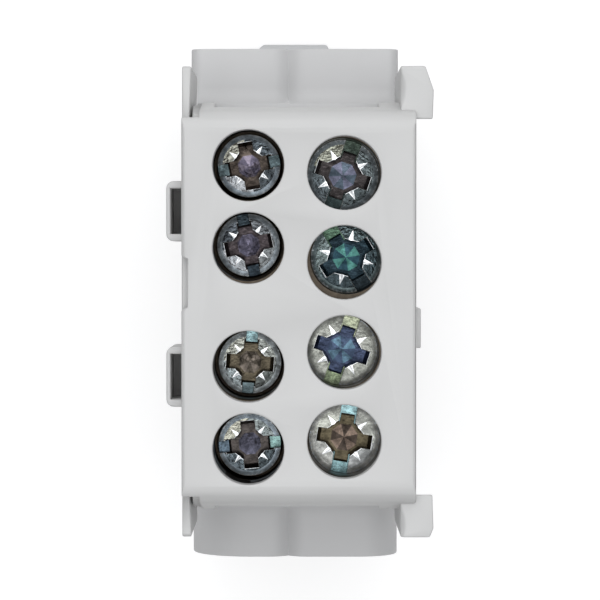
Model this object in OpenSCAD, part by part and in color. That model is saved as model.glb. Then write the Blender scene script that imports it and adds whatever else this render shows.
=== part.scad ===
// Single-pole power distribution block for a 35 mm top-hat rail.
// Two conductors enter from each end and eight clamping screws hold them.
// Origin: middle of the rail, on the rail's front face. +Z points away from
// the rail, +Y towards the rail latch, and the conductors lie along Y.

/* [Housing] */
// Width of the cover across the conductors
body_w = 22.2; // [21.8:0.1:23]
// Height of the front face above the rail
face_z = 43; // [42.5:0.5:45]
// Length of the flat front face
face_l = 33.4; // [32.6:0.2:34]
// Length over the cover's sloped shoulders
lip_l = 39.4; // [39.2:0.1:39.8]
// Drop from the front face to the shoulders' lower edge
lip_drop = 10; // [8:0.5:11]
// Wall thickness of the cover's sides
side_wall = 1.2; // [1:0.1:1.3]
// Thickness of the front face over the terminal block
front_wall = 2; // [1.6:0.1:2.4]
// Length over the cable funnels
funnel_l = 51.8; // [50:0.1:53]
// Height of the funnels' crests above the rail
crest_z = 22; // [21.8:0.1:23]

/* [Conductors and screws] */
// Radius of the smaller conductors' bores
small_bore_r = 3.8; // [3.6:0.05:3.85]
// Radius of the larger conductors' bores
large_bore_r = 4.5; // [4.3:0.05:4.55]
// Depth of the smaller conductors' bores
small_bore_depth = 15.6; // [15:0.1:16]
// Depth of the larger conductors' bores
large_bore_depth = 16.7; // [16.6:0.05:16.8]
// Nominal radius of the small screws' thread
small_screw_r = 3.05; // [2.9:0.05:3.1]
// Nominal radius of the large screws' thread
large_screw_r = 3.45; // [3.3:0.05:3.45]
// Depth of the small screws' heads below the face, backed right out
small_screw_drop = 6.5; // [6:0.1:7]
// Depth of the large screws' heads below the face, backed right out
large_screw_drop = 5.6; // [5:0.1:6.2]

/* [Rail foot] */
// Width of the mounting rail
rail_w = 35; // [35:0.1:35.2]
// Thickness of the rail's lips
rail_lip_t = 1; // [0.9:0.05:1.1]
// How far the feet reach behind the rail's front face
foot_drop = 5.5; // [5:0.1:6]
// Width of the rail latch
latch_w = 7.2; // [6.6:0.1:7.4]
// Reach of the latch's pull tab from the rail's middle
latch_reach = 28.2; // [27.6:0.1:29]

/* [Hidden] */
$fn = 96;
eps = 0.01;
fit = 0.05;            // clearance between mouldings that slide or seat
half_w = body_w / 2;
half_face = face_l / 2;
half_lip = lip_l / 2;
half_funnel = funnel_l / 2;
lip_z = face_z - lip_drop;
skirt_l = lip_l - 0.3;

// holes in the face: x of each column, then y from the latch end downwards
small_x = -4.77;
large_x = 4.3;
small_y = [13.4, 5.6, -5.6, -13.4];
large_y = [12.7, 4.25, -4.25, -12.7];
// tapped holes stand a little off the face's holes: [dx, dy]
small_shift = [[-0.05, 0.15], [-0.1, 0.29], [0.04, 0.14], [0, 0]];
large_shift = [[-0.06, -0.08], [0.28, 0.46], [-0.15, 0.04], [0.09, -0.03]];
small_tap = [for (i = [0:3]) [small_x, small_y[i]] + small_shift[i]];
large_tap = [for (i = [0:3]) [large_x, large_y[i]] + large_shift[i]];
small_hole_r = 3.38;
large_hole_r = 3.5;
crown_z = crest_z - 1.3;      // top of both conductor bores
small_axis_z = crown_z - small_bore_r;
large_axis_z = crown_z - large_bore_r;
screw_gap = 0.03;             // radial play of a screw in its tapped hole
screw_tip_z = crown_z + 0.2;

// terminal block
block_w = 2 * (half_w - side_wall - 0.1);
block_l = 34.6;
block_top = face_z - front_wall - fit;
block_floor = 10.1;
clearance_z = face_z - small_screw_drop - 3;

// lower moulding
seat_z = 13;                  // joint between the two mouldings
plinth_w = 22.4;
plinth_l = 46;
neck_w = 2 * (half_w - side_wall - fit);
neck_l = 39.6;
notch_y = 17.95;              // where the cover's corner notches start
funnel_left = -10.97;
funnel_right = 10.12;
valley_x = -1.2;
valley_z = crest_z - 2;
funnel_floor = 9.6;
snap_y = [17.8, 19.2];
snap_z = [17, 19.6];

sweep_r = 2.2;                // concave sweep between a funnel and the neck
// corner radii of the funnels, left and right, at the latch end and at the hook end
funnel_corners = [[1.2, 1.2], [6, 4]];

// ears and hooks at the cover's ends: [direction, reach, cut of the hook's nose,
// place of the hook's lead-in from the hook's middle]
ends = [[1, 22.87, [0.8, 2.3], 0.35], [-1, 21.9, [0.35, 0.85], 0.9]];
ear_root = 0.68;              // thickness of the ears where they leave the cover
ear_t = 0.88;
ear_slot = 0.27;              // gap between an ear and the stepped corner
ear_low = crest_z + sweep_r + 0.3;
hook_in = 9.66;
hook_out = 12.8;
hook_start = 17.85;

// rail latch
latch_x = -0.45;
bar_z = [1.7, 4.9];
rib_y = [12.8, 14.4];
window_y = [5.4, 14.45];
window_w = 3.4;
spring_wire = 0.45;
spring_r = 1.15;
spring_turns = 7;

housing_grey = [0.80, 0.81, 0.80];
foot_grey = [0.72, 0.73, 0.73];
brass = [0.72, 0.62, 0.42];
zinc = [0.62, 0.66, 0.68];
spring_steel = [0.5, 0.5, 0.52];

// points on an arc about c, from angle a0 to a1 in n steps
function arc(c, r, a0, a1, n) =
    [for (i = [0:n]) let (a = a0 + (a1 - a0) * i / n) c + r * [cos(a), sin(a)]];

// extrude a profile drawn in Y and Z along X, between x0 and x1
module along_x(x0, x1)
    translate([x0, 0, 0]) rotate([90, 0, 90]) linear_extrude(x1 - x0) children();

// extrude a profile drawn in X and Z along Y, between y0 and y1
module along_y(y0, y1)
    translate([0, y1, 0]) rotate([90, 0, 0]) linear_extrude(y1 - y0) children();

// box between two corners
module span(a, b) translate(a) cube(b - a);

/* ---- cover: face, shoulders, side walls, ears, hooks, sockets ---- */

// end view of the cover along its length: flat face and rounded shoulders
module cover_side_profile() {
    r = 2.4;
    slope = 62;
    shoulder = arc([half_face - 0.2, face_z - r], r, 90, 90 - slope, 6);
    half = concat(shoulder, [[half_lip, lip_z + 2.5], [half_lip, lip_z]]);
    polygon(concat(half, [for (i = [len(half) - 1:-1:0]) [-half[i][0], half[i][1]]]));
}

// end view across the width: chamfered long edges
module cover_end_profile(z0) {
    c = 0.3;
    polygon([[-half_w, z0], [half_w, z0], [half_w, face_z - c], [half_w - c, face_z],
        [-half_w + c, face_z], [-half_w, face_z - c]]);
}

// outline seen from the front: notched at the ears, cut back at the hooks
module cover_outline() {
    notch = 1.65;
    step = 0.6;
    step_x = [-8.1, 7.7];
    half = [[half_w, 0], [half_w, half_lip - 1.2], [half_w - 0.6, half_lip],
        [step_x[1], half_lip], [step_x[1], half_lip - step],
        [step_x[0], half_lip - step], [step_x[0], half_lip],
        [-half_w + notch, half_lip], [-half_w + notch, notch_y], [-half_w, notch_y]];
    polygon(concat(half, [for (i = [len(half) - 1:-1:1]) [half[i][0], -half[i][1]]]));
}

module cover_shell() {
    intersection() {
        along_x(-half_w, half_w) cover_side_profile();
        along_y(-half_lip, half_lip) cover_end_profile(lip_z);
        translate([0, 0, lip_z - eps]) linear_extrude(lip_drop + 1) cover_outline();
    }
    // stepped corners beside the ears, parted from them by a narrow slot
    for (s = [-1, 1]) mirror([0, s < 0 ? 1 : 0, 0])
        along_x(-half_w + ear_root + ear_slot, -half_w + 1.7)
            polygon([[17, lip_z], [17, face_z - 2.7], [notch_y + 0.4, face_z - 2.7],
                [18.9, face_z - 3.6], [half_lip - 0.3, face_z - 6.5],
                [half_lip - 0.3, lip_z]]);
    // side skirts that reach down to the lower moulding
    for (s = [-1, 1]) mirror([s < 0 ? 1 : 0, 0, 0])
        span([half_w - side_wall, -skirt_l / 2, seat_z + fit],
            [half_w, skirt_l / 2, lip_z]);
}

// thin ears beside the funnels, on the socket side, a little thicker at the tip
module ears() {
    for (e = ends) mirror([0, e[0] < 0 ? 1 : 0, 0]) intersection() {
        along_x(-half_w, -half_w + ear_t + 1)
            polygon(concat([[16.8, ear_low], [16.8, face_z - 2]],
                arc([e[1] - 0.4, face_z - 2.4], 0.4, 90, 0, 3),
                arc([e[1] - 2, ear_low + 2], 2, 0, -90, 6)));
        translate([0, 0, ear_low - 1]) linear_extrude(face_z - ear_low)
            polygon([[-half_w - 1, 16], [-half_w + ear_root, 16],
                [-half_w + ear_root, notch_y], [-half_w + ear_t, e[1]],
                [-half_w + ear_t, e[1] + 1], [-half_w - 1, e[1] + 1]]);
    }
}

// hooks that latch behind the neighbouring block, on the other side
module hooks() {
    top_z = face_z - 1.6;
    for (e = ends) mirror([0, e[0] < 0 ? 1 : 0, 0]) difference() {
        union() {
            // tall blade beside the funnel, with a rounded lower end
            along_x(hook_in, half_w)
                polygon(concat([[e[1], top_z], [hook_start - 0.8, top_z],
                    [hook_start - 0.8, lip_z], [neck_l / 2 + fit, lip_z],
                    [neck_l / 2 + fit, ear_low]],
                    arc([e[1] - 1.5, ear_low + 1.5], 1.5, 270, 360, 6)));
            // hooked nose that stands off the side, undercut towards the block
            intersection() {
                along_x(half_w - 0.1, hook_out)
                    polygon([[e[1], top_z], [hook_start, top_z], [hook_start, top_z - 0.3],
                        [e[1] - 2.2, lip_z + 2], [e[1], lip_z + 2]]);
                translate([0, 0, lip_z]) linear_extrude(lip_drop)
                    polygon([[hook_in, hook_start], [hook_out - 0.1, hook_start],
                        [hook_out, e[1] - e[2][1]], [hook_out - e[2][0], e[1]],
                        [hook_in, e[1]]]);
            }
        }
        // scooped lead-in on the inner edge
        translate([6.05, (hook_start + e[1]) / 2 + e[3], top_z - 1])
            cylinder(r1 = 3.1, r2 = 4.1 + eps, h = 1 + eps);
    }
}

// sockets for a neighbour's pegs: open rims that stand off the side wall
module sockets() {
    out = 1.55;
    for (y0 = [6.25, -9.55]) difference() {
        translate([0, 0, face_z - 11]) linear_extrude(8.2)
            polygon(concat([[-half_w + 0.3, y0], [-half_w + 0.3, y0 + 5.75]],
                arc([-half_w - out + 0.7, y0 + 5.05], 0.7, 90, 180, 4),
                arc([-half_w - out + 0.7, y0 + 0.7], 0.7, 180, 270, 4)));
        span([-half_w - out + 0.4, y0 + 0.7, face_z - 10],
            [-half_w, y0 + 5.05, face_z]);
    }
}

// eight screwdriver holes through the face
module screw_holes() {
    for (y = small_y) translate([small_x, y, block_top - 1])
        cylinder(r = small_hole_r, h = front_wall + 2);
    for (y = large_y) translate([large_x, y, block_top - 1])
        cylinder(r = large_hole_r, h = front_wall + 2);
}

module cover() color(housing_grey) difference() {
    union() {
        cover_shell();
        ears();
        hooks();
        sockets();
        // peg that seats in the neighbour
        span([half_w - 0.3, -3.95, face_z - 12], [half_w + 0.55, -0.15, face_z - 3]);
    }
    // chamber for the terminal block
    span([-half_w + side_wall, -block_l / 2 - fit, seat_z - 1],
        [half_w - side_wall, block_l / 2 + fit, face_z - front_wall]);
    screw_holes();
    // finger recess in the long edge of the face
    translate([0, 0, face_z - 1.2]) linear_extrude(3)
        polygon([[-half_w - 1, -0.75], [-half_w + 0.6, 0], [-half_w + 0.6, 4.55],
            [-half_w - 1, 5.3]]);
    // windows for the base's snap noses
    for (sx = [-1, 1], sy = [-1, 1])
        mirror([sx < 0 ? 1 : 0, 0, 0]) mirror([0, sy < 0 ? 1 : 0, 0])
            span([half_w - side_wall - 1, snap_y[0], snap_z[0]],
                [half_w + 1, snap_y[1], snap_z[1]]);
}

/* ---- base: plinth, neck, funnels, rail foot ---- */

// outline of one lobe of a funnel, seen from its mouth
function lobe(x0, x1, r0, r1) = concat([[x0, funnel_floor], [x1, funnel_floor]],
    arc([x1 - r1, crest_z - r1], r1, 0, 90, 8),
    arc([x0 + r0, crest_z - r0], r0, 90, 180, 8));

// an outline carried from the mouth to the neck, its upper side lifted by the sweep
module swept(outline) {
    n = len(outline);
    rings = concat([[half_funnel, 0]], [for (a = [0:15:90])
        [neck_l / 2 + sweep_r * (1 - sin(a)), sweep_r * (1 - cos(a))]]);
    points = [for (ring = rings, p = outline)
        [p[0], ring[0], p[1] + (p[1] > funnel_floor ? ring[1] : 0)]];
    sides = [for (i = [0:len(rings) - 2], k = [0:n - 1]) let (next = (k + 1) % n)
        [i * n + k, (i + 1) * n + k, (i + 1) * n + next, i * n + next]];
    polyhedron(points, concat(sides, [[for (k = [0:n - 1]) k]],
        [[for (k = [n - 1:-1:0]) (len(rings) - 1) * n + k]]));
}

// two-lobed funnels with a shallow valley between the lobes
module funnels() {
    for (e = [0, 1]) mirror([0, e, 0]) {
        swept(lobe(funnel_left, valley_x + 0.55, funnel_corners[e][0], 2.4));
        swept(lobe(valley_x - 0.35, funnel_right, 2.4, funnel_corners[e][1]));
        swept([[valley_x - 3, funnel_floor], [valley_x + 3, funnel_floor],
            [valley_x + 3, valley_z], [valley_x - 3, valley_z]]);
    }
}

// cable entry: a funnel that narrows to the bore of the terminal block
module entry(x, z, r) {
    flare = 0.25;
    for (s = [-1, 1]) mirror([0, s < 0 ? 1 : 0, 0])
        translate([x, half_funnel + eps, z]) rotate([90, 0, 0])
            cylinder(r1 = r + flare, r2 = r + 0.03, h = half_funnel - block_l / 2 + 0.5);
}

// side view of the rail foot: plinth, fixed hook and the latch's cheeks
module foot_profile() {
    nose_y = rail_w / 2 - 1.2;
    wall_y = rail_w / 2 + 0.3;
    nose_z = -rail_lip_t - 0.25;
    end_y = plinth_l / 2;
    polygon([[-end_y, seat_z], [-end_y, 1.5], [-end_y + 0.8, 0],
        [-end_y + 0.8, -foot_drop + 1], [-end_y + 1.8, -foot_drop],
        [-wall_y + 0.1, -foot_drop], [-nose_y, nose_z - 1.6], [-nose_y, nose_z],
        [-wall_y, nose_z], [-wall_y, 0], [wall_y, 0], [wall_y, -foot_drop],
        [end_y - 1.8, -foot_drop], [end_y - 0.8, -foot_drop + 1],
        [end_y - 0.8, 0], [end_y, 1.5], [end_y, seat_z]]);
}

// room for the latch: a closed tunnel, open to the outside at the latch end
module latch_way() {
    w = latch_w / 2 + fit;
    difference() {
        span([latch_x - w, 1.5, bar_z[0] - fit], [latch_x + w, plinth_l / 2 + 1,
            bar_z[1] + fit]);
        span([latch_x - window_w / 2 + 0.2, rib_y[0], 0],
            [latch_x + window_w / 2 - 0.2, rib_y[1], 8]);
    }
    span([latch_x - w, rail_w / 2 + 0.2, -foot_drop - 1],
        [latch_x + w, plinth_l / 2 + 1, bar_z[1] + fit]);
}

// cored-out underside: two rows of pockets between ribs, beside the latch
module cores() {
    pocket = 5;
    pitch = 6.2;
    for (x0 = [-plinth_w / 2 + 1.4, latch_x + latch_w / 2 + 1.1], i = [-2:2])
        span([x0, i * pitch - pocket / 2, -1],
            [x0 + (x0 < 0 ? 5 : 5.3), i * pitch + pocket / 2, block_floor - 1.7]);
}

// snap noses on the neck, which catch the windows in the cover's skirts
module snaps() {
    for (sx = [-1, 1], sy = [-1, 1])
        mirror([sx < 0 ? 1 : 0, 0, 0]) mirror([0, sy < 0 ? 1 : 0, 0])
            along_y(snap_y[0] + 0.1, snap_y[1] - 0.1)
                polygon([[neck_w / 2 - 0.3, snap_z[0] + 0.1],
                    [neck_w / 2 + 0.9, snap_z[0] + 0.1],
                    [neck_w / 2 + 0.9, snap_z[0] + 0.5], [neck_w / 2, snap_z[1] - 0.1],
                    [neck_w / 2 - 0.3, snap_z[1] - 0.1]]);
}

module base() color(foot_grey) difference() {
    union() {
        snaps();
        intersection() {
            along_x(-plinth_w / 2, plinth_w / 2) foot_profile();
            // corners of the plinth rounded in plan
            translate([0, 0, -foot_drop - 1]) linear_extrude(seat_z + foot_drop + 2)
                polygon(concat(
                    arc([plinth_w / 2 - 1, plinth_l / 2 - 1], 1, 0, 90, 4),
                    arc([-plinth_w / 2 + 1, plinth_l / 2 - 1], 1, 90, 180, 4),
                    arc([-plinth_w / 2 + 1, -plinth_l / 2 + 1], 1, 180, 270, 4),
                    arc([plinth_w / 2 - 1, -plinth_l / 2 + 1], 1, 270, 360, 4)));
        }
        // neck walls at both ends of the terminal block
        span([-neck_w / 2, -neck_l / 2, seat_z - 1], [neck_w / 2, neck_l / 2, lip_z - fit]);
        funnels();
    }
    // chamber for the terminal block, open to the cover
    span([-block_w / 2 - fit, -block_l / 2 - fit, block_floor - fit],
        [block_w / 2 + fit, block_l / 2 + fit, lip_z + 1]);
    entry(small_x, small_axis_z, small_bore_r);
    entry(large_x, large_axis_z, large_bore_r);
    latch_way();
    cores();
}

/* ---- terminal block: one bar, four blind bores, eight tapped holes ---- */

module terminal_block() color(brass) difference() {
    c = 0.4;
    along_y(-block_l / 2, block_l / 2)
        polygon([[-block_w / 2, block_floor], [block_w / 2, block_floor],
            [block_w / 2, block_top - c], [block_w / 2 - c, block_top],
            [-block_w / 2 + c, block_top], [-block_w / 2, block_top - c]]);
    for (s = [-1, 1]) mirror([0, s < 0 ? 1 : 0, 0]) {
        translate([small_x, block_l / 2 + eps, small_axis_z]) rotate([90, 0, 0])
            cylinder(r = small_bore_r, h = small_bore_depth);
        translate([large_x, block_l / 2 + eps, large_axis_z]) rotate([90, 0, 0])
            cylinder(r = large_bore_r, h = large_bore_depth);
    }
    for (at = small_tap) translate(at) {
        translate([0, 0, small_axis_z]) cylinder(r = small_screw_r + screw_gap, h = 40);
        // clearance over the thread, as deep as the backed-out head needs
        translate([0, 0, clearance_z]) cylinder(r = small_hole_r + 0.04, h = 40);
    }
    for (at = large_tap) translate(at)
        translate([0, 0, large_axis_z]) cylinder(r = large_screw_r + screw_gap, h = 40);
}

/* ---- clamping screws: headless, slot and cross recess combined ---- */

// bar with sloping ends, for cutting a cross recess: half-lengths at top and floor
module sloped_bar(top, floor, width, depth)
    rotate([90, 0, 0]) translate([0, 0, -width / 2]) linear_extrude(width)
        polygon([[-floor, -depth], [floor, -depth], [top, 0], [top, 1], [-top, 1],
            [-top, 0]]);

// the drive: a full slot over a cross recess with a pointed middle and tick marks
module drive(cross, wing, slot, r) {
    slot_t = 1;
    cross_t = 1.5;
    core = cross * 0.325;      // distance of the middle square's sides
    taper = 0.5;
    tick_slope = 16;
    translate([-r - 1, -slot / 2, -slot_t]) cube([2 * r + 2, slot, slot_t + 1]);
    for (a = [0, 90]) rotate([0, 0, a])
        sloped_bar(cross / 2, cross / 2 - taper, wing, cross_t);
    intersection() {
        rotate([0, 0, 45]) sloped_bar(core, core - taper / 2, 4 * core, cross_t);
        rotate([0, 0, 135]) sloped_bar(core, core - taper / 2, 4 * core, cross_t);
    }
    rotate([0, 0, 22.5]) translate([0, 0, -cross_t - 1.4])
        cylinder(r1 = 0.05, r2 = core - taper / 2 - 0.1, h = 1.4 + eps, $fn = 8);
    // tick marks: V grooves that run out towards the rim
    for (a = [45:90:315]) rotate([0, 0, a]) translate([r - 0.75, 0, 0])
        rotate([0, -tick_slope, 0]) rotate([45, 0, 0])
            translate([-(r - 0.65 - core), 0, 0]) cube([r - 0.65 - core, 1, 1]);
}

module clamp_screw(r, top_z, cross, wing, slot, turn) {
    rim = 0.5;                // width of the chamfer round the top
    tip = 0.8;
    h = top_z - screw_tip_z;
    translate([0, 0, screw_tip_z]) difference() {
        rotate_extrude() polygon([[0, 0], [r - tip, 0], [r, tip], [r, h - 0.35],
            [r - rim, h], [0, h]]);
        translate([0, 0, h]) rotate([0, 0, turn]) drive(cross, wing, slot, r);
    }
}

module screw_small(i, turn) color(zinc)
    translate(small_tap[i])
        clamp_screw(small_screw_r, face_z - small_screw_drop, 4.6, 1.35, 1.1, turn);

module screw_large(i, turn) color(zinc)
    translate(large_tap[i])
        clamp_screw(large_screw_r, face_z - large_screw_drop, 5.3, 1.3, 1.55, turn);

/* ---- rail latch and its spring ---- */

module rail_latch() color(foot_grey) {
    nose_y = rail_w / 2 - 1.2;
    arm_y = [rail_w / 2 + 0.5, rail_w / 2 + 3.4];
    tab_z = [-foot_drop + 0.5, -foot_drop + 2.9];
    top_z = -rail_lip_t - 0.25;
    w = latch_w / 2;
    translate([latch_x, 0, 0]) difference() {
        intersection() {
            along_x(-w - 0.5, w + 0.3) polygon([[2, bar_z[0]], [arm_y[0], bar_z[0]],
                [arm_y[0], top_z], [nose_y, top_z], [nose_y, top_z - 0.9],
                [arm_y[0], tab_z[0]], [latch_reach, tab_z[0]],
                [latch_reach, tab_z[1] - 0.4], [latch_reach - 0.4, tab_z[1]],
                [arm_y[1], tab_z[1]], [arm_y[1], bar_z[1]], [2, bar_z[1]]]);
            // plan: straight bar, slightly wider pull tab with cut corners
            translate([0, 0, -foot_drop]) linear_extrude(foot_drop + 8)
                polygon([[-w, 2], [w, 2], [w, 24], [w + 0.15, 24.5],
                    [w + 0.15, latch_reach - 0.5], [w - 0.1, latch_reach],
                    [-w + 0.1, latch_reach], [-w - 0.4, latch_reach - 0.5],
                    [-w - 0.4, 24.5], [-w, 24]]);
        }
        // spring window
        span([-window_w / 2, window_y[0], 0], [window_w / 2, window_y[1], 8]);
        // screwdriver slot in the tab
        span([-1.9, 24.4, -foot_drop - 1], [1.9, 25.9, 0]);
    }
}

// compression spring, swept round its axis in flat-sided wire
module latch_spring() color(spring_steel) {
    y0 = window_y[0] + 0.05;
    y1 = rib_y[0] - 0.05;
    sides = 6;
    steps = 14 * spring_turns;
    rise = (y1 - y0 - spring_wire) / steps;
    points = [for (i = [0:steps], k = [0:sides - 1])
        let (a = 360 * spring_turns * i / steps, b = 360 * k / sides,
            r = spring_r + spring_wire / 2 * cos(b))
        [r * cos(a), y0 + spring_wire / 2 + i * rise + spring_wire / 2 * sin(b),
            r * sin(a)]];
    ring = [for (i = [0:steps - 1], k = [0:sides - 1]) let (n = (k + 1) % sides)
        [i * sides + k, (i + 1) * sides + k, (i + 1) * sides + n, i * sides + n]];
    translate([latch_x, 0, (bar_z[0] + bar_z[1]) / 2])
        polyhedron(points, concat(ring, [[for (k = [0:sides - 1]) k]],
            [[for (k = [sides - 1:-1:0]) steps * sides + k]]));
}

cover();
base();
terminal_block();
rail_latch();
latch_spring();
screw_small(0, 10.5);  // screw_small_1
screw_small(1, 102);  // screw_small_2
screw_small(2, 85.5);  // screw_small_3
screw_small(3, 5.5);  // screw_small_4
screw_large(0, 71.5);  // screw_large_1
screw_large(1, 121);  // screw_large_2
screw_large(2, 72);  // screw_large_3
screw_large(3, 80.5);  // screw_large_4
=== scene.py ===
# %% [markdown]
# # A rail-mounted power distribution block
# Two conductors enter this block from each end and eight clamping screws hold them in one
# metal bar inside a grey moulded housing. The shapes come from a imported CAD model, which is
# loaded first as a fixed frame. This script gives each piece its edges, finish and light.

# %% Load the frame
import math

import bmesh
import bpy
from mathutils import Matrix, Vector


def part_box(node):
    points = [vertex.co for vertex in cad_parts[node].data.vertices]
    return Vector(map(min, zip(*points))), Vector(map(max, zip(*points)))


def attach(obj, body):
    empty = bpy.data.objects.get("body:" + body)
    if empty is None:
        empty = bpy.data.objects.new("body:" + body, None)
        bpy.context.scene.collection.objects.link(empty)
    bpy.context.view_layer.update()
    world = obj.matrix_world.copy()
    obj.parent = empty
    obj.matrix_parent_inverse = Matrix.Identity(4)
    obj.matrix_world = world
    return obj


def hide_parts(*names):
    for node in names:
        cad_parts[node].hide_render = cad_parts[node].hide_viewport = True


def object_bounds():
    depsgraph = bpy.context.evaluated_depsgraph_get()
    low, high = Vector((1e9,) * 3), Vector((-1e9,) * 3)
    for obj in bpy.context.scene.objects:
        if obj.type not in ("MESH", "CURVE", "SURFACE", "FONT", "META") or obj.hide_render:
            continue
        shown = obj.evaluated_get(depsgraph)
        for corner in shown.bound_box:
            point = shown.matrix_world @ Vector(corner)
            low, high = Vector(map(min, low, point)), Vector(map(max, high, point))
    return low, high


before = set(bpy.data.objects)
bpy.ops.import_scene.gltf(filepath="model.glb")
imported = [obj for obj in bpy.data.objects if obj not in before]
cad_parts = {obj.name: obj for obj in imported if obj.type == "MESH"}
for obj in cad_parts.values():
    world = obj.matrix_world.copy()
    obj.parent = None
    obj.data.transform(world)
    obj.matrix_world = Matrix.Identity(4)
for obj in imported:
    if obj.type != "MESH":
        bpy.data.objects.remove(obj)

cad_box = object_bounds()
MM = 0.001
print("CAD box in mm:", [[round(v / MM, 2) for v in corner] for corner in cad_box])

# %% [markdown]
# ## The camera
# The block is seen straight on from the front, as it looks to someone who faces the rail. The
# camera stands about a quarter of a metre away, which is close enough for the funnels, deeper
# in, to look smaller than the face. A shorter lens from nearer by would show more of the side
# walls. The camera sits a few millimetres towards the latch and is tilted back by as much, so
# the face stays in the middle of the picture.

# %% Camera
scene = bpy.context.scene
front_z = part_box("cover")[1].z
aim = Vector((0.11 * MM, 0.7 * MM, front_z))
stand_off = Vector((0, 4.6 * MM, 260 * MM))     # towards the latch, and away from the face
camera = bpy.data.objects.new("front_camera", bpy.data.cameras.new("front_camera"))
scene.collection.objects.link(camera)
camera.location = aim + stand_off
camera.rotation_euler = (-math.atan2(stand_off.y, stand_off.z), 0, 0)
camera.data.sensor_width = 36
camera.data.lens = 165.4
camera.data.clip_start = 0.01
scene.camera = camera
print("camera at", [round(v / MM, 1) for v in camera.location], "mm")

# %% [markdown]
# ## Colours and shader nodes
# A finish is a small network of shader nodes. Two helpers keep that readable: one turns an
# sRGB hex value, as a colour chart gives it, into the linear numbers that Blender works in,
# and one adds a node with its settings, its input values and its links in a single call.

# %% Helpers for finishes
def colour(code):
    """Linear colour for an sRGB hex value such as "CDCDCB"."""
    levels = [int(code[i:i + 2], 16) / 255 for i in (0, 2, 4)]
    linear = [v / 12.92 if v <= 0.04045 else ((v + 0.055) / 1.055) ** 2.4 for v in levels]
    return (*linear, 1)


def add(tree, kind, settings=None, values=None, links=None):
    """Adds one shader node with its settings, input values and links."""
    made = tree.nodes.new("ShaderNode" + kind)
    for name, value in (settings or {}).items():
        setattr(made, name, value)
    for socket, value in (values or {}).items():
        made.inputs[socket].default_value = value
    for socket, source in (links or {}).items():
        tree.links.new(source, made.inputs[socket])
    return made


def start_finish(name):
    """An empty material, its node tree and the Object coordinates of the piece, in metres."""
    finish = bpy.data.materials.new(name)
    finish.use_nodes = True
    finish.node_tree.nodes.clear()
    place = add(finish.node_tree, "TexCoord").outputs["Object"]
    return finish, finish.node_tree, place


def per_metre(size_mm):
    """Scale of a noise texture whose patches are about size_mm across."""
    return 1 / (size_mm * MM)


print("a mid grey of 808080 is", [round(v, 3) for v in colour("808080")[:3]])

# %% [markdown]
# ## White sheet
# The block stands on a sheet of white card. The card is plain matt white that also glows, but
# only for the camera and for reflections, so open sheet reads as pure white while the shadow
# under the block stays. A brighter lamp could whiten the sheet too, but it would bleach the
# pale plastic with it.

# %% White sheet
SHEET_WHITE = "B4B4B4"
SHEET_GLOW = 0.64
SHEET_HALF = 1.5               # metres from the middle to an edge of the sheet
sheet_z = cad_box[0][2]
bm = bmesh.new()
bmesh.ops.create_grid(bm, x_segments=1, y_segments=1, size=SHEET_HALF)
bmesh.ops.translate(bm, verts=bm.verts, vec=(0, 0, sheet_z))
sheet_mesh = bpy.data.meshes.new("white_sheet")
bm.to_mesh(sheet_mesh)
bm.free()
white_sheet = bpy.data.objects.new("white_sheet", sheet_mesh)
scene.collection.objects.link(white_sheet)

finish, tree, place = start_finish("matt_white_card")
rays = add(tree, "LightPath").outputs
seen = add(tree, "Math", {"operation": "MAXIMUM"},
           links={0: rays["Is Camera Ray"], 1: rays["Is Glossy Ray"]}).outputs[0]
seen = add(tree, "Math", {"operation": "MAXIMUM"},
           links={0: seen, 1: rays["Is Transmission Ray"]}).outputs[0]
glow_level = add(tree, "Math", {"operation": "MULTIPLY"}, {1: SHEET_GLOW}, {0: seen}).outputs[0]
card = add(tree, "BsdfDiffuse", values={"Color": colour(SHEET_WHITE)}).outputs[0]
glow = add(tree, "Emission", links={"Strength": glow_level}).outputs[0]
both = add(tree, "AddShader", links={0: card, 1: glow}).outputs[0]
add(tree, "OutputMaterial", links={"Surface": both})
sheet_mesh.materials.append(finish)
print("white sheet at z =", round(sheet_z / MM, 2), "mm")

# %% [markdown]
# ## Light tent
# Glossy metal at the bottom of a deep hole mirrors only what lies almost straight above it, so
# the light there decides how the screws look. A studio hangs a tent of white cloth round the
# object, with a gap for the lens. Here the world is the tent: its strength depends on how
# high a direction points. It is brightest in a ring round the camera, falls off towards the
# horizon, and is weaker in the gap itself. The latch's end is brighter than the other, and the
# two sides are darker, which shapes the funnels. Many lamps could do the same with more work.
# Two soft boxes, one beside the camera and one beyond the latch, add the direction that an
# even tent lacks.

# %% Light tent
# Stops: how high a direction points (1 is straight up), and the light that comes from there.
TENT = ((0.0, 0.15), (0.45, 0.38), (0.72, 1.4), (0.93, 1.85), (0.985, 0.46))
LATCH_END_SHARE = 0.4          # how much stronger the latch end's side of the tent is
SIDE_LOSS = 0.75               # how much of the light is missing at the open sides
world = bpy.data.worlds.new("light_tent")
world.use_nodes = True
tree = world.node_tree
way = add(tree, "SeparateXYZ", links={0: add(tree, "TexCoord").outputs["Generated"]}).outputs
dome = add(tree, "ValToRGB", links={"Fac": way["Z"]})
for stop in TENT[2:]:
    dome.color_ramp.elements.new(0.5)
for stop, (height, light) in zip(dome.color_ramp.elements, TENT):
    stop.position = height
    stop.color = (light / 2, light / 2, light / 2, 1)
ends = add(tree, "MapRange", values={"From Min": -1, "From Max": 1,
                                     "To Min": 2 * (1 - LATCH_END_SHARE),
                                     "To Max": 2 * (1 + LATCH_END_SHARE)},
           links={"Value": way["Y"]}).outputs["Result"]
across = add(tree, "Math", {"operation": "MULTIPLY"}, links={0: way["X"], 1: way["X"]})
sides = add(tree, "MapRange", values={"To Min": 1, "To Max": 1 - SIDE_LOSS},
            links={"Value": across.outputs[0]}).outputs["Result"]
level = add(tree, "Math", {"operation": "MULTIPLY"},
            links={0: dome.outputs["Color"], 1: ends}).outputs[0]
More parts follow.
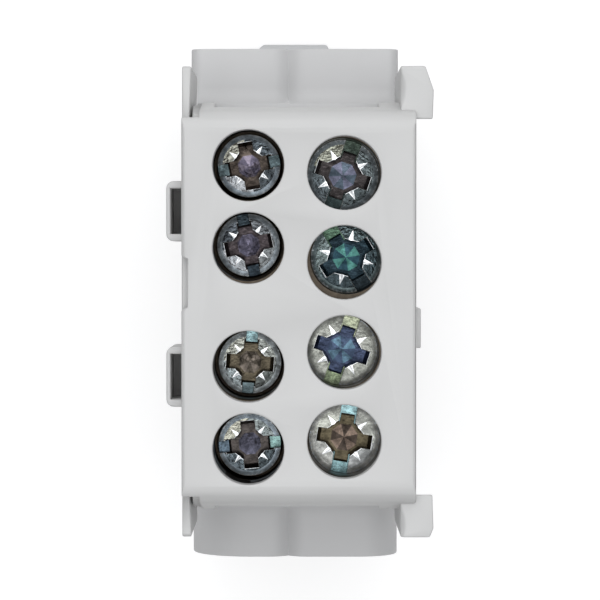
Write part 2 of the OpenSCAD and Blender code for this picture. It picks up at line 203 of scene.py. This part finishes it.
level = add(tree, "Math", {"operation": "MULTIPLY"}, links={0: level, 1: sides}).outputs[0]
tree.links.new(level, tree.nodes["Background"].inputs["Strength"])
tree.nodes["Background"].inputs["Color"].default_value = colour("FCFDFF")
scene.world = world


def soft_box(name, centre, size_x, size_y, radiance):
    """A soft box that faces down. Sizes are in metres, radiance in watts per m2 and sr."""
    lamp = bpy.data.lights.new(name, "AREA")
    lamp.shape = "RECTANGLE"
    lamp.size = size_x
    lamp.size_y = size_y
    lamp.energy = radiance * math.pi * size_x * size_y
    box = bpy.data.objects.new(name, lamp)
    box.location = centre
    scene.collection.objects.link(box)
    return box


soft_box("box_beside_camera", (0, -0.125, 0.65), 0.3, 0.2, 2.0)
box_away, box_up = 0.5, 0.3    # metres from the block, along Y and up
latch_end_box = soft_box("box_at_latch_end", (0, box_away, box_up), 0.5, 0.25, 1.4)
latch_end_box.rotation_euler = (-math.atan2(box_away, box_up), 0, 0)
scene.view_settings.view_transform = "Standard"
print("light tent with", len(TENT), "bands of light")

# %% [markdown]
# ## Moulded polyamide
# The housing, the base and the rail latch are injection moulded from light grey polyamide.
# Such moulds are mostly spark eroded, which leaves a fine even grain, so the plastic is satin
# and never glossy. An image of a real grain could be tiled over it, but a noise needs no file and
# has no seams: one as fine as the grain drives the bump, and a second, much wider one moves
# the roughness and the grey a little, as flow and cooling do.

# %% Plastic finishes
def moulded_polyamide(name, hex_code, roughness):
    """Satin moulded plastic. The eye gets a soft sheen that breaks up over a fine grain."""
    finish, tree, place = start_finish(name)
    grey = colour(hex_code)[:3]
    spread = 0.035             # how far the grey moves up and down over the part
    grain_mm = 0.16            # spark-eroded texture is finer; this is as fine as the view shows
    flow_mm = 9
    grain = add(tree, "TexNoise", values={"Scale": per_metre(grain_mm), "Detail": 2},
                links={"Vector": place}).outputs["Fac"]
    flow = add(tree, "TexNoise", values={"Scale": per_metre(flow_mm), "Detail": 3},
               links={"Vector": place}).outputs["Fac"]
    bump = add(tree, "Bump", values={"Strength": 0.12, "Distance": 0.03 * MM},
               links={"Height": grain}).outputs["Normal"]
    tone = add(tree, "MixRGB",
               values={"Color1": (*(v * (1 - spread) for v in grey), 1),
                       "Color2": (*(v * (1 + spread) for v in grey), 1)},
               links={"Fac": flow})
    gloss = add(tree, "MapRange", values={"To Min": roughness - 0.04, "To Max": roughness + 0.04},
                links={"Value": flow}).outputs["Result"]
    shell = add(tree, "BsdfPrincipled", values={"IOR": 1.53, "Specular IOR Level": 0.5},
                links={"Base Color": tone.outputs["Color"], "Roughness": gloss,
                       "Normal": bump})
    add(tree, "OutputMaterial", links={"Surface": shell.outputs[0]})
    return finish


cover_plastic = moulded_polyamide("moulded_polyamide_cover", "CACAC9", 0.5)
base_plastic = moulded_polyamide("moulded_polyamide_base", "C9C9C9", 0.5)
latch_plastic = moulded_polyamide("moulded_polyamide_latch", "C6C7C8", 0.48)
print("finishes:", cover_plastic.name, base_plastic.name, latch_plastic.name)

# %% [markdown]
# ## Softened edges
# No moulded edge is perfectly sharp. The CAD faces come as loose triangles, so a copy is
# merged, its flat triangles are joined into whole faces, and every sharp outer edge gets a
# small round of two segments. Inner corners stay sharp: a tool leaves them so, and a round in
# a narrow corner can fold a face over itself. A Bevel modifier could do the same, but a bevel
# on the mesh lets the script choose the edges by their angle and count them at once.

# %% Softened copies of CAD nodes
def merged_copy(node):
    """A closed mesh of a CAD node, with its flat triangles joined into whole faces."""
    bm = bmesh.new()
    bm.from_mesh(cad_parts[node].data)
    bmesh.ops.remove_doubles(bm, verts=bm.verts, dist=0.002 * MM)
    bmesh.ops.dissolve_limit(bm, angle_limit=math.radians(1), verts=bm.verts, edges=bm.edges)
    return bm


def round_edges(bm, radius, angle=30, segments=2):
    """Rounds every outer edge that turns by more than angle degrees, and counts them."""
    bm.normal_update()
    sharp = [e for e in bm.edges
             if e.is_convex and e.calc_face_angle(0) > math.radians(angle)]
    bmesh.ops.bevel(bm, geom=sharp, offset=radius, offset_type="OFFSET", affect="EDGES",
                    segments=segments, profile=0.5, material=-1, clamp_overlap=False)
    bmesh.ops.recalc_face_normals(bm, faces=bm.faces)
    return len(sharp)


def face_order(face):
    """A number from a face's three lowest points. A spin makes its faces in a loose order."""
    lowest = sorted(v.index for v in face.verts)[:3]
    return (lowest[0] * 1e5 + lowest[1]) * 1e5 + lowest[2]


def finish_piece(bm, name, body, finish, replaced=(), smooth=35):
    """Turns a bmesh into a piece that rides on a body and carries its finish."""
    bm.verts.index_update()
    bm.faces.sort(key=face_order)
    mesh = bpy.data.meshes.new(name)
    bm.to_mesh(mesh)
    bm.free()
    mesh.materials.append(finish)
    piece = bpy.data.objects.new(name, mesh)
    scene.collection.objects.link(piece)
    mesh.shade_smooth()
    mesh.set_sharp_from_angle(angle=math.radians(smooth))
    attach(piece, body)
    if replaced:
        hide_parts(*replaced)
    print(name, "has", len(mesh.polygons), "faces")
    return piece


# %% [markdown]
# ## Cover, base and latch
# The cover snaps over the base and carries the face, the ears and the hooks. The base holds
# the cable funnels and the rail foot, and the latch slides in it. All three are moulded, so
# one loop makes them, and only the radius differs: a stouter part has rounder edges.

# %% Cover, base and latch
for node, body, slot, finish, radius in (
    ("cover", "housing", "cover_plastic", cover_plastic, 0.13),
    ("base", "housing", "base_plastic", base_plastic, 0.12),
    ("rail_latch", "rail_latch", "latch_plastic", latch_plastic, 0.2),
):
    bm = merged_copy(node)
    rounded = round_edges(bm, radius * MM)
    print(node, "has", rounded, "rounded edges")
    finish_piece(bm, "moulded_" + node, body, finish, (node,))

# %% [markdown]
# ## Terminal bar
# The bar is taken to be brass, machined and tin plated, as such bars usually are. It is given
# a dull warm brown grey. Only slivers of it show, round the screws and deep in the cable
# entries. One flat colour would do for slivers, but a noise that mixes two browns keeps a
# close view alive.

# %% Tinned brass
def tinned_brass(name):
    """Dull plated metal. The eye gets a dark warm glint beside the screws' cold one."""
    finish, tree, place = start_finish(name)
    mark_mm = 0.5              # tool marks are finer; this is as fine as the view shows
    marks = add(tree, "TexNoise", values={"Scale": per_metre(mark_mm), "Detail": 3},
                links={"Vector": place}).outputs["Fac"]
    tone = add(tree, "MixRGB", values={"Color1": colour("5E564C"), "Color2": colour("363029")},
               links={"Fac": marks}).outputs["Color"]
    bar = add(tree, "BsdfPrincipled", values={"Metallic": 1, "Roughness": 0.38},
              links={"Base Color": tone})
    add(tree, "OutputMaterial", links={"Surface": bar.outputs[0]})
    return finish


bm = merged_copy("terminal_block")
round_edges(bm, 0.08 * MM)
finish_piece(bm, "terminal_bar", "housing", tinned_brass("tinned_brass"),
             ("terminal_block",))

# %% [markdown]
# ## Passivated zinc
# A clamping screw is a headless steel screw, cold formed with a drive that takes both a flat
# and a cross bit, then zinc plated and passivated. The passivation film is so thin that it
# shows interference colours, and they differ between the parts of one drive: the floors look
# brown, violet or blue, the slot ends green or teal, and the flats are a mottled silver. A
# colour attribute on the mesh holds one film colour for each part of the drive. It also holds
# painted light: a near-white painted highlight on the rounded top edges and the marks, and a
# painted highlight and a painted shade on alternate facets of the middle. A noise could place
# the colours, but it wouldn't know a floor from a wall. The attribute's alpha says how strongly
# a part is dimpled.

# %% Passivated zinc
def passivated_zinc(name, seed):
    """Thin coloured film on bright zinc, with the painted highlights and painted shade that the
    colour attribute holds. The eye gets a hard glint with a tint in it.
    """
    finish, tree, place = start_finish(name)
    film_and_painted_light = add(tree, "Attribute", {"attribute_name": "film_and_painted_light"}).outputs
    shifted = add(tree, "Mapping", values={"Location": (seed * 0.01, seed * 0.017, 0)},
                  links={"Vector": place}).outputs["Vector"]
    blotch_mm = 0.7            # as wide as the patches look
    blotches = add(tree, "TexNoise", values={"Scale": per_metre(blotch_mm), "Detail": 3},
                   links={"Vector": shifted}).outputs["Fac"]
    shade = add(tree, "MapRange", values={"From Min": 0.38, "From Max": 0.62,
                                          "To Min": 0.62, "To Max": 1.25},
                links={"Value": blotches}).outputs["Result"]
    tone = add(tree, "VectorMath", {"operation": "SCALE"},
               links={0: film_and_painted_light["Color"], "Scale": shade}).outputs[0]
    peen_mm = 0.3              # the dimples left by forming are about half as large
    peened = add(tree, "TexNoise", values={"Scale": per_metre(peen_mm), "Detail": 2},
                 links={"Vector": shifted}).outputs["Fac"]
    depth = add(tree, "Math", {"operation": "MULTIPLY"}, links={0: peened, 1: film_and_painted_light["Alpha"]})
    bump = add(tree, "Bump", values={"Strength": 1, "Distance": 0.09 * MM},
               links={"Height": depth.outputs[0]}).outputs["Normal"]
    steel = add(tree, "BsdfPrincipled", values={"Metallic": 1, "Roughness": 0.22},
                links={"Base Color": tone, "Normal": bump})
    add(tree, "OutputMaterial", links={"Surface": steel.outputs[0]})
    return finish


# %% [markdown]
# ## Which part has which film or painted light
# No two screws have quite the same colours, so each has its own row of them here. The
# faces are told apart by how deep they lie, how far out, and which way they look. Painting
# them by hand would work once, but a rule works for all eight screws, however they are turned.

# %% Film colours and painted light
# Each screw's films and painted light: ring, flats (counted round from the upper right), far slot
# end, near slot end, cross floors, and the middle's alternate facets, lighter as painted
# highlight and darker as painted shade.
FILMS_AND_PAINTED_LIGHT = {
    "screw_small_1": ("88929A", ("5A6268", "98988E", "A6AAAE", "4A5054"),
                      "647478", "68787C", "544C46", "6A6470", "565260"),
    "screw_small_2": ("868E94", ("6A6E72", "545A60", "A2A6AA", "767A7C"),
                      "384248", "38424A", "484244", "625F6E", "504E5C"),
    "screw_small_3": ("888E90", ("8E928E", "A0A29A", "80888A", "5A5E5C"),
                      "7A9498", "5C6A6E", "504A3E", "6E665E", "544E46"),
    "screw_small_4": ("808A92", ("7E8686", "A2A296", "626C72", "464E52"),
                      "728E8B", "566470", "423E3C", "5E5E6C", "50505C"),
    "screw_large_1": ("70787C", ("5C6466", "96988C", "586064", "545C5E"),
                      "4A564E", "404C4C", "484444", "5E6070", "46505A"),
    "screw_large_2": ("606C6E", ("505C5E", "6E7A7A", "3E484C", "424E52"),
                      "587260", "2A3236", "2C3A42", "44706A", "2C444E"),
    "screw_large_3": ("8C8E89", ("8E908A", "90928C", "8A8C86", "8C8E88"),
                      "989E88", "7E8A70", "3A4256", "526A7A", "3E4A5E"),
    "screw_large_4": ("90918E", ("92948F", "94968F", "8E8F8C", "828484"),
                      "86A4A8", "7C9A9E", "4C4638", "6E6056", "443C36"),
}
PARTS = ("ring", "flats", "slot_far", "slot_near", "floor", "middle_light", "middle_dark")
PAINTED_HIGHLIGHT = "F0F3F5"           # painted highlight: near-white metal on the rounded top edges and on the marks
SHANK_FILM = "8C9296"
RING_WIDTH = 0.55 * MM         # chamfer round the top, from its inner edge outwards
RING_DROP = 0.35 * MM          # how far the chamfer falls in the CAD
FLOOR_DEPTH = 1.5 * MM         # depth of the cross recess
DRIVE_DEPTH = 3 * MM           # below this there is only shank
LEVEL = 0.98                   # a face whose normal's Z is above this counts as level


def drive_part(face, centre, top_z, crest_r):
    """Names the part of the screw that a face belongs to."""
    at = face.calc_center_median() - centre
    out = at.xy.length
    depth = top_z - at.z
    normal = face.normal
    turned = math.degrees(math.atan2(at.y, at.x)) % 360
    if depth > DRIVE_DEPTH or out > crest_r - 0.1 * MM:
        return "shank"
    if depth > FLOOR_DEPTH + 0.05 * MM:
        # Alternate facets of the middle get a lighter and a darker colour: painted highlight and
        # painted shade.
        return ("middle_light", "middle_dark")[int(turned // 45) % 2]
    if normal.z > LEVEL and depth < 0.1 * MM:
        return "flat_" + str(int(turned // 90))
    if normal.z > LEVEL and depth < 1.2 * MM:
        along = at.y if abs(at.y) > abs(at.x) else at.x
        return "slot_far" if along > 0 else "slot_near"
    sideways = abs(normal.xy.cross(at.xy)) / max(out, 1e-9)
    if normal.z > 0.5 and sideways > 0.4 and depth < 0.6 * MM:
        return "tick"
    if normal.z > 0.5 and out > crest_r - RING_WIDTH:
        return "ring"
    return "floor"


# %% [markdown]
# ## Clamping screws
# The CAD screw is a plain cylinder with a drive cut into it. Its small slopes count for much,
# because a metal face that tilts by ten degrees mirrors another part of the tent. So in the
# copy the marks, the middle and the chamfer are made shallower, and the ends of the cross
# steeper, before the edges are rounded. The true depths aren't known: these shares are chosen
# for how the metal then looks. Sculpting would do, but eight screws would need eight
# sculpts. The thread is one ridge spun round the core, with a run-out below the top.

# %% Screws
THREAD_PITCH = 1 * MM
THREAD_DEPTH = 0.4 * MM
CORE_GAP = 0.03 * MM           # the ridge starts this far inside the core, so nothing shows
RUN_OUT = 1.05 * MM            # plain length at the top, before the thread starts
RUN_OUT_SLOPE = 0.15 * MM      # height of the cone that leads down to the core
TICK_SHARE = 0.25              # depths as a share of the CAD's
MIDDLE_SHARE = 0.22
RING_SHARE = 0.1
WING_REACH = 0.3 * MM          # how far the floor's ends move out, to make the end walls steep
PRESSED_ROUND = 0.04 * MM      # radius of a pressed edge
PRESSED_ANGLE = 32             # degrees; edges that turn by less stay as they are
SMOOTH_ANGLE = 8.5             # degrees; keeps the facets crisp and the round walls smooth
STEPS_A_TURN = 48


def add_thread(bm, centre, crest_r, z_low, z_high):
    """Winds one helical ridge round the core with spin, and closes its two ends."""
    turns = (z_high - z_low - THREAD_PITCH) / THREAD_PITCH
    root_r = crest_r - THREAD_DEPTH - CORE_GAP
    half = 0.42 * THREAD_PITCH     # half the ridge's height at its root, and at its crest
    flat = 0.07 * THREAD_PITCH
    outline = [(root_r, -half), (crest_r, -flat), (crest_r, flat), (root_r, half)]
    corners = [bm.verts.new(centre + Vector((r, 0, z_low + THREAD_PITCH / 2 + z)))
               for r, z in outline]
    first = bm.faces.new(corners)
    steps = int(turns * STEPS_A_TURN)
    bmesh.ops.spin(bm, geom=[first], cent=centre, axis=(0, 0, 1),
                   dvec=(0, 0, turns * THREAD_PITCH / steps),
                   angle=turns * 2 * math.pi, steps=steps, use_duplicate=False)


def press_drive(bm, centre, top_z, crest_r, slot):
    """Makes the drive's small slopes shallower, and returns the marks' number of faces."""
    ticks = {f for f in bm.faces if drive_part(f, centre, top_z, crest_r) == "tick"}
    wing = slot.cross(Vector((0, 0, 1))).normalized()
    floor = [v for v in bm.verts if abs(top_z - v.co.z - FLOOR_DEPTH) < 0.02 * MM]
    reach = max(abs((v.co - centre).dot(wing)) for v in floor)
    for v in floor:
        along = (v.co - centre).dot(wing)
        if abs(along) > reach - 0.05 * MM:
            v.co += wing * math.copysign(WING_REACH, along)
    for v in bm.verts:
        depth = top_z - v.co.z
        out = (v.co - centre).xy.length
        sides = [f for f in v.link_faces if f in ticks]
        if len(sides) >= 2 and any(a.normal.dot(b.normal) < 0.5 for a in sides for b in sides):
            v.co.z = top_z - depth * TICK_SHARE
        elif FLOOR_DEPTH < depth < DRIVE_DEPTH and out < 0.2 * MM:
            v.co.z = top_z - FLOOR_DEPTH - (depth - FLOOR_DEPTH) * MIDDLE_SHARE
        elif out > crest_r - RING_WIDTH and 0.01 * MM < depth < RING_DROP + 0.02 * MM:
            v.co.z = top_z - depth * RING_SHARE
    return len(ticks)


def split_level_faces(bm, centre, top_z, slot):
    """Cuts the flats and the floor into quarters, which stay simple when edges are rounded."""
    for across in (slot, slot.cross(Vector((0, 0, 1)))):
        level = [f for f in bm.faces if f.normal.z > 0.999 and (
                     f.calc_center_median().z > top_z - 0.01 * MM
                     or abs(top_z - FLOOR_DEPTH - f.calc_center_median().z) < 0.01 * MM)]
        points = dict.fromkeys(v for f in level for v in f.verts)   # keeps a fixed order
        edges = dict.fromkeys(e for f in level for e in f.edges)
        bmesh.ops.bisect_plane(bm, geom=[*points, *edges, *level], plane_co=centre,
                               plane_no=across)


def clamping_screw(node, films_and_painted_light, seed):
    """Makes one screw from its CAD node: run-out, pressed drive, rounds, thread, and films with
    painted highlights and painted shade.
    """
    low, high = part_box(node)
    peening = 0.2 if node in ("screw_large_3", "screw_large_4") else 1
    centre = Vector(((low.x + high.x) / 2, (low.y + high.y) / 2, 0))
    crest_r = (high.x - low.x) / 2
    bm = merged_copy(node)
    for depth in (RUN_OUT - RUN_OUT_SLOPE, RUN_OUT):
        bmesh.ops.bisect_plane(bm, geom=bm.verts[:] + bm.edges[:] + bm.faces[:],
                               plane_co=(0, 0, high.z - depth), plane_no=(0, 0, 1))
    for v in bm.verts:
        out = (v.co - centre).xy.length
        if v.co.z < high.z - RUN_OUT + 0.01 * MM and out > crest_r - 0.3 * MM:
            shrink = (crest_r - THREAD_DEPTH) / out
            v.co.x = centre.x + (v.co.x - centre.x) * shrink
            v.co.y = centre.y + (v.co.y - centre.y) * shrink
    bm.normal_update()
    ends = [f for f in bm.faces if f.normal.z > LEVEL
            and 0.9 * MM < high.z - f.calc_center_median().z < 1.2 * MM]
    slot = (ends[0].calc_center_median() - centre) * Vector((1, 1, 0))
    split_level_faces(bm, centre, high.z, slot)
    bm.normal_update()
    # The marks and the rounded top edges take the near-white colour, a painted highlight.
    colours = dict(zip(PARTS, films_and_painted_light), tick=PAINTED_HIGHLIGHT, shank=SHANK_FILM, edge=PAINTED_HIGHLIGHT)
    colours.update({"flat_" + str(i): tone for i, tone in enumerate(colours.pop("flats"))})
    names = list(colours)
    for f in bm.faces:
        f.material_index = names.index(drive_part(f, centre, high.z, crest_r))
    ticks = press_drive(bm, centre, high.z, crest_r, slot)
    bm.normal_update()
    tick = names.index("tick")
    sharp = [e for e in bm.edges
             if e.is_convex and e.calc_face_angle(0) > math.radians(PRESSED_ANGLE)
             and all(f.material_index != tick for f in e.link_faces)]
    made = bmesh.ops.bevel(bm, geom=sharp, offset=PRESSED_ROUND, offset_type="OFFSET",
                           affect="EDGES", segments=2, profile=0.5, material=-1,
                           clamp_overlap=False)
    # The rounds near the top take the near-white colour, a painted highlight.
    for f in made["faces"]:
        if f.calc_center_median().z > high.z - 0.2 * MM:
            f.material_index = names.index("edge")
    bmesh.ops.triangulate(bm, faces=[f for f in bm.faces if len(f.verts) > 4],
                          ngon_method="EAR_CLIP")
    bm.normal_update()
    add_thread(bm, centre, crest_r, low.z + 0.5 * MM, high.z - RUN_OUT)
    # The layer holds film colours, painted highlights and painted shade, with the dimple strength
    # in alpha.
    film_and_painted_light = bm.loops.layers.float_color.new("film_and_painted_light")
    for f in bm.faces:
        part = names[f.material_index]
        if f.calc_center_median().z < high.z - DRIVE_DEPTH:
            part = "shank"
        rough = {"flat": peening, "tick": 0.1, "edge": 0, "ring": 0.06}.get(part[:4], 0.25)
        for corner in f.loops:
            corner[film_and_painted_light] = (*colour(colours[part])[:3], rough)
        f.material_index = 0
    bmesh.ops.recalc_face_normals(bm, faces=bm.faces)
    print(node, "has", ticks, "tick faces")
    finish_piece(bm, node.replace("screw", "clamping_screw"), node,
                 passivated_zinc("passivated_zinc_" + node[6:], seed), (node,), SMOOTH_ANGLE)


for seed, (node, films_and_painted_light) in enumerate(FILMS_AND_PAINTED_LIGHT.items()):
    clamping_screw(node, films_and_painted_light, seed)

# %% [markdown]
# ## Latch spring
# A small spring of round wire pushes the latch towards the rail. The CAD node has flat-sided
# wire, and here a circle is spun along the same helix for round wire. A curve with a bevel
# would give the same wire, but a spin makes a closed mesh at once.

# %% Spring
def bright_spring_steel(name):
    """Plain drawn wire. It lies inside the base, so one even grey is enough for the eye."""
    finish, tree, _ = start_finish(name)
    wire = add(tree, "BsdfPrincipled",
               values={"Metallic": 1, "Roughness": 0.3, "Base Color": colour("8D8F92")})
    add(tree, "OutputMaterial", links={"Surface": wire.outputs[0]})
    return finish


low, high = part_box("latch_spring")
WIRE_R = 0.225 * MM
SPRING_TURNS = 7
TURN_STEPS = 36
coil_r = (high.x - low.x) / 2 - WIRE_R
axis_at = Vector(((low.x + high.x) / 2, 0, (low.z + high.z) / 2))
rise = (high.y - low.y - 2 * WIRE_R) / (SPRING_TURNS * TURN_STEPS)
bm = bmesh.new()
ring = bmesh.ops.create_circle(bm, cap_ends=True, segments=12, radius=WIRE_R)["verts"]
bmesh.ops.translate(bm, verts=ring, vec=(coil_r, 0, 0))
bmesh.ops.rotate(bm, verts=ring, cent=(0, 0, 0), matrix=Matrix.Rotation(-math.pi / 2, 3, "X"))
bmesh.ops.translate(bm, verts=ring, vec=axis_at + Vector((0, low.y + WIRE_R, 0)))
bmesh.ops.spin(bm, geom=bm.verts[:] + bm.edges[:] + bm.faces[:], cent=axis_at,
               axis=(0, -1, 0), dvec=(0, rise, 0), angle=SPRING_TURNS * 2 * math.pi,
               steps=SPRING_TURNS * TURN_STEPS, use_duplicate=False)
bmesh.ops.recalc_face_normals(bm, faces=bm.faces)
finish_piece(bm, "round_wire_spring", "housing",
             bright_spring_steel("bright_spring_steel"), ("latch_spring",))
